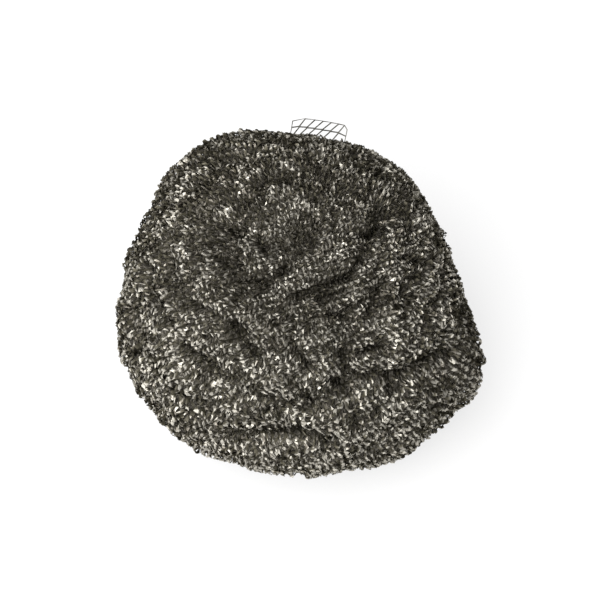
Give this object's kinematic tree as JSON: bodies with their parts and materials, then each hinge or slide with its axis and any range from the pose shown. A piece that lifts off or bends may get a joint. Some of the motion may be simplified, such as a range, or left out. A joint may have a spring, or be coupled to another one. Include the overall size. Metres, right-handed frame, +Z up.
{
  "type": "steel scourer ball",
  "caption": "Round dish scourer of knitted flat stainless wire, wound and tucked into a springy ball, with open stitches in relief and a small flat to rest on.",
  "frame": {"origin": "middle of the bounding box on the flat underside that the ball rests on", "axes": "+Z up, out of the tucked top; +X to the right, towards the corner of the outermost turn; +Y to the back, towards the loose loop of mesh"},
  "size_m": [0.0898, 0.0886, 0.0703],
  "materials": {
    "stainless_wire": "bright rolled flat wire, glinting, dark between the stitches"
  },
  "bodies": {
    "root": {"knitted_wire_ball": "stainless_wire"}
  },
  "joints": []
}
